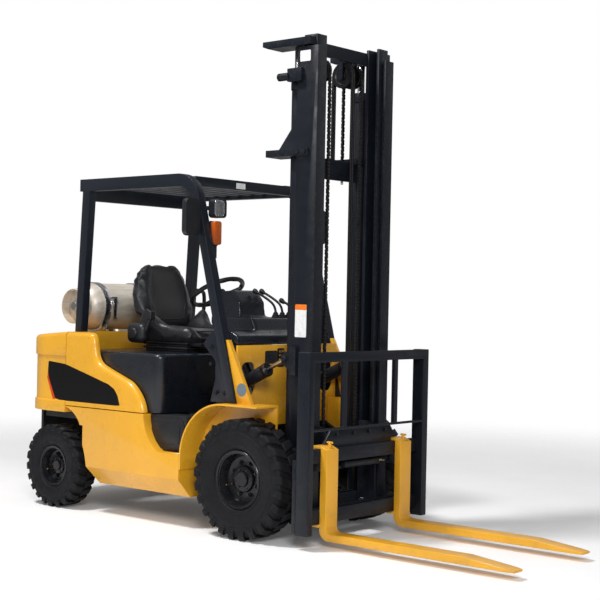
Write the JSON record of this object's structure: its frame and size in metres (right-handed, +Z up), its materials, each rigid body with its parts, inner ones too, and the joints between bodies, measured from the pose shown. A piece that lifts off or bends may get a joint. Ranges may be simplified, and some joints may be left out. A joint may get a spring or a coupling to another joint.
{
  "type": "counterbalanced forklift truck with a two-stage mast",
  "caption": "Counterbalanced forklift with a gas engine, overhead guard, two-stage lifting mast, side shifter, load backrest and forks.",
  "frame": {"origin": "on the floor, under the middle of the whole truck's box, forks included", "axes": "+X forward towards the fork tips, +Y to the truck's left, +Z up"},
  "size_m": [3.745, 1.252, 2.805],
  "materials": {
    "tyre": "moulded rubber, dusty",
    "rim_black": "semi gloss black paint",
    "cast_black": "cast, dark paint",
    "frame_dark": "dark paint",
    "yellow_paint": "gloss yellow paint",
    "yellow_weight": "gloss yellow paint over casting",
    "guard_dark": "semi gloss blue-grey paint",
    "hood_dark": "moulded dark grey",
    "grille_black": "black paint",
    "engine_block": "cast",
    "plastic_black": "grained moulding",
    "wheel_plastic": "grained grip",
    "seat_vinyl": "vinyl cover",
    "bottle_steel": "worn pale paint",
    "bracket_chrome": "bright steel",
    "lever_chrome": "bright",
    "pedal_rubber": "ribbed",
    "lamp_body": "clear lens in a dark body",
    "signal_orange": "translucent orange",
    "mirror_body": "moulded black",
    "mast_black": "semi gloss black paint",
    "sheave_steel": "greased steel",
    "rod_chrome": "polished",
    "chain_steel": "greased leaf chain",
    "hose_rubber": "smooth",
    "fork_yellow": "yellow paint, worn on the blade"
  },
  "bodies": {
    "chassis": {"front_axle": "cast_black", "steer_axle": "cast_black", "chassis_frame": "frame_dark", "side_tanks": "yellow_paint", "fenders": "yellow_paint", "dash_panel": "yellow_paint", "counterweight": "yellow_weight", "radiator_grille": "grille_black", "side_panels": "yellow_paint", "engine": "engine_block", "overhead_guard": "guard_dark", "gas_bottle": "bottle_steel", "bottle_bracket": "bracket_chrome", "instrument_cowl": "plastic_black", "steering_column": "plastic_black", "pedals": "pedal_rubber", "control_levers": "lever_chrome", "headlights": "lamp_body", "turn_signals": "signal_orange", "mirrors": "mirror_body"},
    "hood": {"hood": "hood_dark", "seat_base": "plastic_black", "seat_cushion": "seat_vinyl", "seat_back": "seat_vinyl"},
    "steering_wheel": {"steering_wheel": "wheel_plastic"},
    "wheel_front_right": {"tyre_front_right": "tyre", "rim_front_right": "rim_black"},
    "wheel_front_left": {"tyre_front_left": "tyre", "rim_front_left": "rim_black"},
    "wheel_rear_right": {"tyre_rear_right": "tyre", "rim_rear_right": "rim_black"},
    "wheel_rear_left": {"tyre_rear_left": "tyre", "rim_rear_left": "rim_black"},
    "knuckle_right": {"knuckle_right": "cast_black"},
    "knuckle_left": {"knuckle_left": "cast_black"},
    "outer_mast": {"outer_mast": "mast_black", "lift_barrels": "mast_black", "chains_rear": "chain_steel", "hoses_rear": "hose_rubber"},
    "inner_mast": {"inner_mast": "mast_black", "lift_rods": "rod_chrome", "sheaves": "sheave_steel", "chains_front": "chain_steel", "hoses_front": "hose_rubber"},
    "carriage": {"carriage": "mast_black", "shift_cylinder": "mast_black"},
    "side_shifter": {"side_shifter": "mast_black", "shift_rod": "rod_chrome", "load_backrest": "mast_black", "forks": "fork_yellow"},
    "tilt_barrels": {"tilt_barrels": "mast_black"},
    "tilt_rods": {"tilt_rods": "rod_chrome"}
  },
  "joints": [
    {"name": "wheel_front_right_spin", "type": "hinge", "parent": "chassis", "child": "wheel_front_right", "pos_m": [0.2025, -0.486, 0.336], "axis": [0, 1, 0], "continuous": true},
    {"name": "wheel_front_left_spin", "type": "hinge", "parent": "chassis", "child": "wheel_front_left", "pos_m": [0.2025, 0.486, 0.336], "axis": [0, 1, 0], "continuous": true},
    {"name": "steer_right", "type": "hinge", "parent": "chassis", "child": "knuckle_right", "pos_m": [-1.3975, -0.34, 0.26], "axis": [0, 0, 1], "range_deg": [-75, 75]},
    {"name": "steer_left", "type": "hinge", "parent": "chassis", "child": "knuckle_left", "pos_m": [-1.3975, 0.34, 0.26], "axis": [0, 0, 1], "range_deg": [-75, 75]},
    {"name": "wheel_rear_right_spin", "type": "hinge", "parent": "knuckle_right", "child": "wheel_rear_right", "pos_m": [-1.3975, -0.49, 0.26], "axis": [0, 1, 0], "continuous": true},
    {"name": "wheel_rear_left_spin", "type": "hinge", "parent": "knuckle_left", "child": "wheel_rear_left", "pos_m": [-1.3975, 0.49, 0.26], "axis": [0, 1, 0], "continuous": true},
    {"name": "mast_tilt", "type": "hinge", "parent": "chassis", "child": "outer_mast", "pos_m": [0.2025, 0, 0.336], "axis": [0, 1, 0], "range_deg": [-10, 6]},
    {"name": "tilt_barrel_swing", "type": "hinge", "parent": "chassis", "child": "tilt_barrels", "pos_m": [-0.1175, 0, 0.78], "axis": [0, 1, 0], "range_deg": [-8.83, 5.46]},
    {"name": "tilt_rod_slide", "type": "slide", "parent": "tilt_barrels", "child": "tilt_rods", "axis": [0.9018, 0, 0.4321], "range_m": [-0.0964, 0.0587]},
    {"name": "mast_lift", "type": "slide", "parent": "outer_mast", "child": "inner_mast", "axis": [0, 0, 1], "range_m": [0, 2.1], "deforming": ["chains_rear", "hoses_rear"]},
    {"name": "carriage_lift", "type": "slide", "parent": "inner_mast", "child": "carriage", "axis": [0, 0, 1], "range_m": [0, 2.1], "deforming": ["chains_front", "hoses_front"]},
    {"name": "side_shift", "type": "slide", "parent": "carriage", "child": "side_shifter", "axis": [0, 1, 0], "range_m": [-0.1, 0.1]},
    {"name": "hood_hinge", "type": "hinge", "parent": "chassis", "child": "hood", "pos_m": [-1.2095, 0, 0.996], "axis": [0, -1, 0], "range_deg": [0, 11]},
    {"name": "steering_wheel_turn", "type": "hinge", "parent": "chassis", "child": "steering_wheel", "pos_m": [-0.5225, 0, 1.373], "axis": [-0.5, 0, 0.866], "continuous": true}
  ],
  "couplings": [
    {"joint": "steer_left", "follows": "steer_right", "ratio": 1},
    {"joint": "tilt_barrel_swing", "follows": "mast_tilt", "ratio": 0.8425},
    {"joint": "tilt_rod_slide", "follows": "mast_tilt", "m_per_rad": 0.541},
    {"joint": "carriage_lift", "follows": "mast_lift", "ratio": 1}
  ]
}
